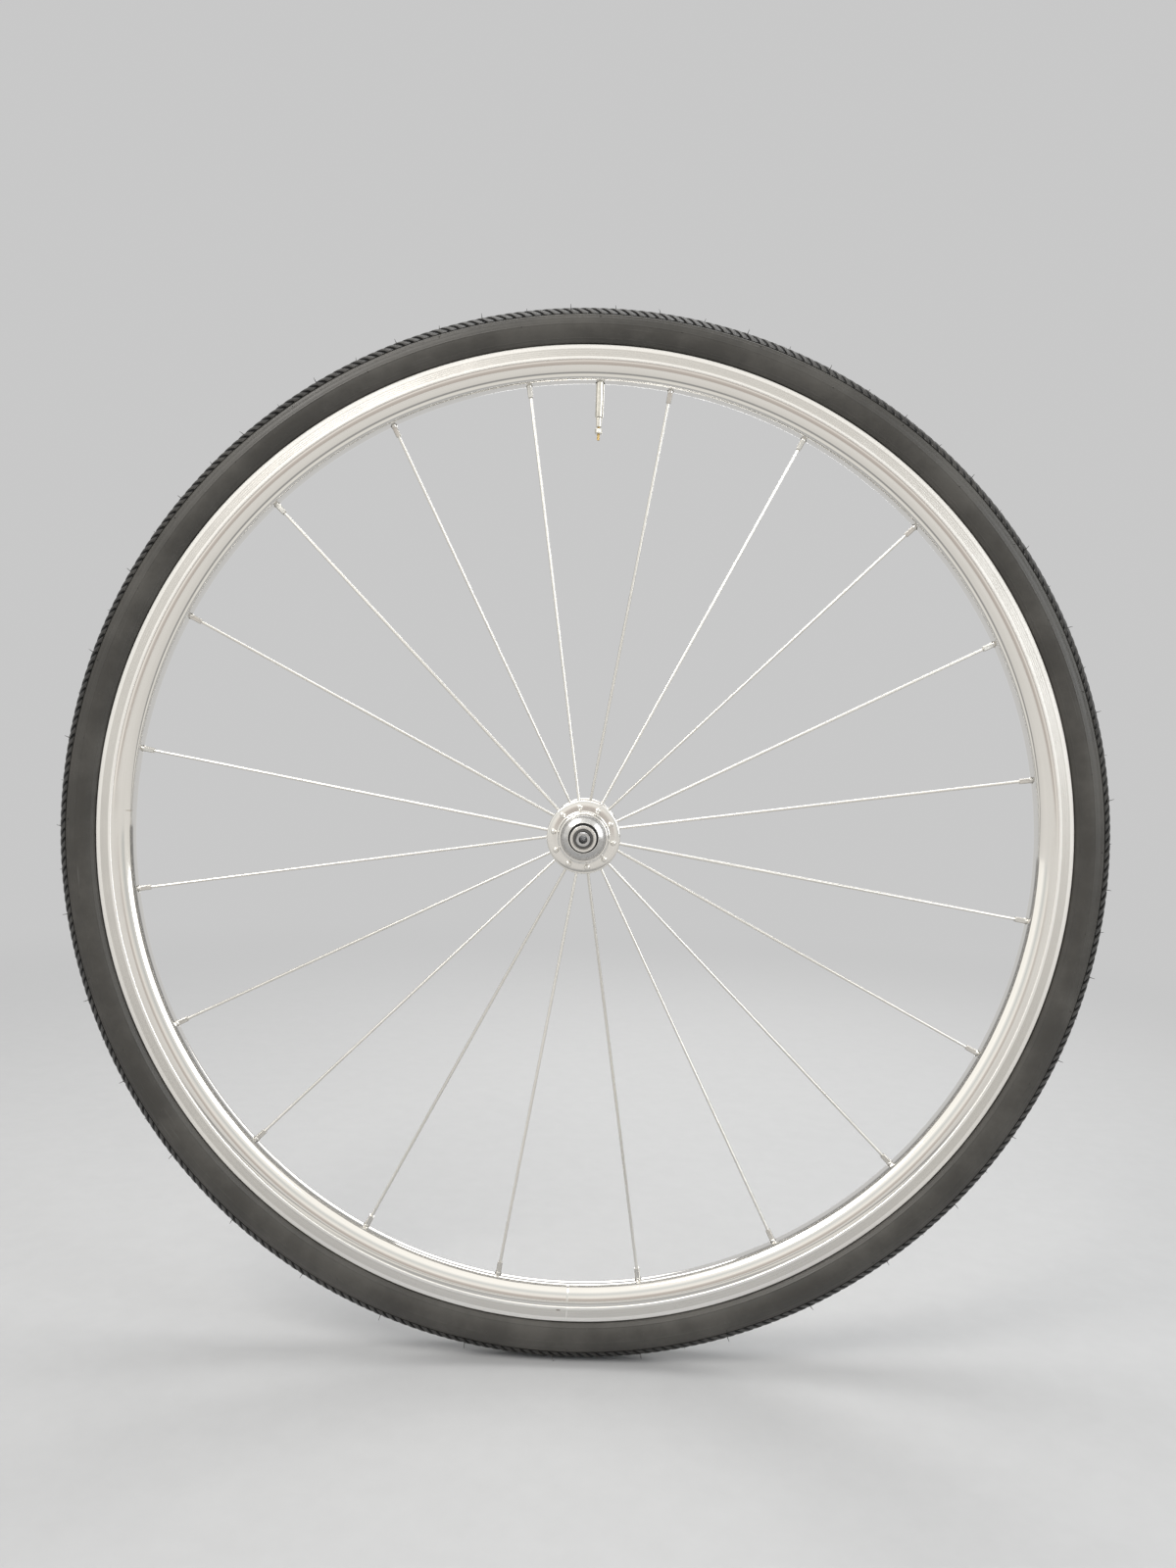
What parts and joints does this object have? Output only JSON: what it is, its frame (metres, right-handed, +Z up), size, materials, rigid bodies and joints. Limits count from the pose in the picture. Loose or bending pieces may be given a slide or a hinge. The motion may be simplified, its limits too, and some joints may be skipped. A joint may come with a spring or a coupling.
{
  "type": "bicycle wheel",
  "caption": "Front bicycle wheel with radial spokes, a polished double-wall rim with brake tracks, a rubber tyre with inner tube and valve, and a cup-and-cone hub on a hollow axle.",
  "frame": {"origin": "centre of the wheel, on the axle's axis and in the rim's middle plane", "axes": "+Y along the axle to the wheel's left, +Z up through the tyre valve, +X forward"},
  "size_m": [0.6855, 0.109, 0.6854],
  "materials": {
    "tyre_rubber": "satin",
    "tube_rubber": "matte",
    "rim_tape": "matte",
    "rim_alloy": "polished",
    "hub_alloy": "polished",
    "cap_steel": "satin",
    "spoke_steel": "polished",
    "nipple_brass": "gloss",
    "axle_steel": "satin",
    "bearing_steel": "polished",
    "seal_rubber": "matte",
    "valve_plate": "gloss",
    "valve_brass": "satin"
  },
  "bodies": {
    "axle_set": {"axle": "axle_steel", "bearing_cone_right": "bearing_steel", "bearing_cone_left": "bearing_steel", "lip_seal_right": "seal_rubber", "lip_seal_left": "seal_rubber", "lock_washer_right": "axle_steel", "lock_washer_left": "axle_steel", "locknut_right": "axle_steel", "locknut_left": "axle_steel"},
    "wheel": {"tyre": "tyre_rubber", "inner_tube": "tube_rubber", "rim_tape": "rim_tape", "rim": "rim_alloy", "rim_joint_sleeve": "rim_alloy", "hub_shell": "hub_alloy", "bearing_cup_right": "bearing_steel", "bearing_cup_left": "bearing_steel", "dust_cap_right": "cap_steel", "dust_cap_left": "cap_steel", "nipples_right": "nipple_brass", "nipples_left": "nipple_brass", "spoke_right_01": "spoke_steel", "spoke_right_02": "spoke_steel", "spoke_right_03": "spoke_steel", "spoke_right_04": "spoke_steel", "spoke_right_05": "spoke_steel", "spoke_right_06": "spoke_steel", "spoke_right_07": "spoke_steel", "spoke_right_08": "spoke_steel", "spoke_right_09": "spoke_steel", "spoke_right_10": "spoke_steel", "spoke_left_01": "spoke_steel", "spoke_left_02": "spoke_steel", "spoke_left_03": "spoke_steel", "spoke_left_04": "spoke_steel", "spoke_left_05": "spoke_steel", "spoke_left_06": "spoke_steel", "spoke_left_07": "spoke_steel", "spoke_left_08": "spoke_steel", "spoke_left_09": "spoke_steel", "spoke_left_10": "spoke_steel", "valve_stem": "valve_plate", "valve_core": "valve_plate"},
    "bearing_right": {"bearing_balls_right": "bearing_steel", "ball_cage_right": "bearing_steel"},
    "bearing_left": {"bearing_balls_left": "bearing_steel", "ball_cage_left": "bearing_steel"},
    "valve_pin": {"valve_pin": "valve_brass"},
    "valve_nut": {"valve_nut": "valve_plate"}
  },
  "joints": [
    {"name": "wheel_spin", "type": "hinge", "parent": "axle_set", "child": "wheel", "pos_m": [0, 0, 0], "axis": [0, 1, 0], "continuous": true},
    {"name": "bearing_right_orbit", "type": "hinge", "parent": "axle_set", "child": "bearing_right", "pos_m": [0, 0, 0], "axis": [0, 1, 0], "continuous": true},
    {"name": "bearing_left_orbit", "type": "hinge", "parent": "axle_set", "child": "bearing_left", "pos_m": [0, 0, 0], "axis": [0, 1, 0], "continuous": true},
    {"name": "valve_pin_press", "type": "slide", "parent": "wheel", "child": "valve_pin", "axis": [0, 0, 1], "range_m": [0, 0.0008], "stiffness_N_per_m": 300, "springref_m": -0.002},
    {"name": "valve_nut_travel", "type": "slide", "parent": "valve_pin", "child": "valve_nut", "axis": [0, 0, -1], "range_m": [0, 0.0025]}
  ],
  "couplings": [
    {"joint": "bearing_right_orbit", "follows": "wheel_spin", "ratio": 0.5915},
    {"joint": "bearing_left_orbit", "follows": "wheel_spin", "ratio": 0.5915}
  ]
}
